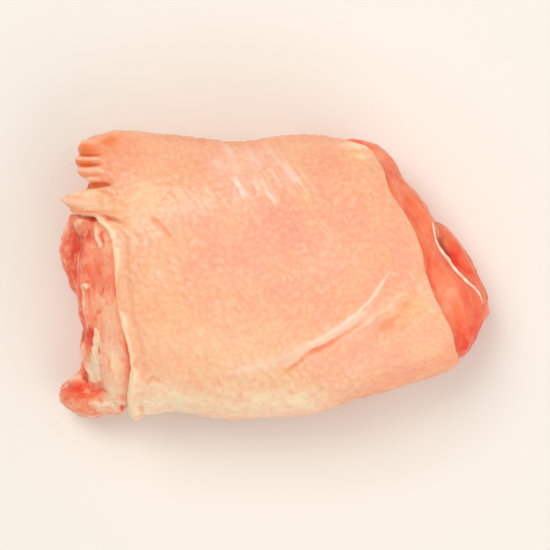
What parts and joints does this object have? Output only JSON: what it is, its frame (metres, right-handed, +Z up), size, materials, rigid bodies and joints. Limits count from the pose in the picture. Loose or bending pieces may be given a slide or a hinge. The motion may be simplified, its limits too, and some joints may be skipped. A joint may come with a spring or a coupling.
{
  "type": "raw chicken thigh",
  "caption": "Raw poultry thigh lying skin side up, with torn flesh, fat and sinew showing past the skin at both ends.",
  "frame": {"origin": "middle of the underside, on the surface that the thigh lies on", "axes": "+X along the thigh towards its narrow end, +Y across it, +Z up through the skin side"},
  "size_m": [0.106, 0.0699, 0.0345],
  "materials": {
    "meat": "moist raw flesh, orange-pink to red",
    "skin": "moist pale peach skin with fine pores"
  },
  "bodies": {
    "root": {"meat": "meat", "skin": "skin"}
  },
  "joints": []
}
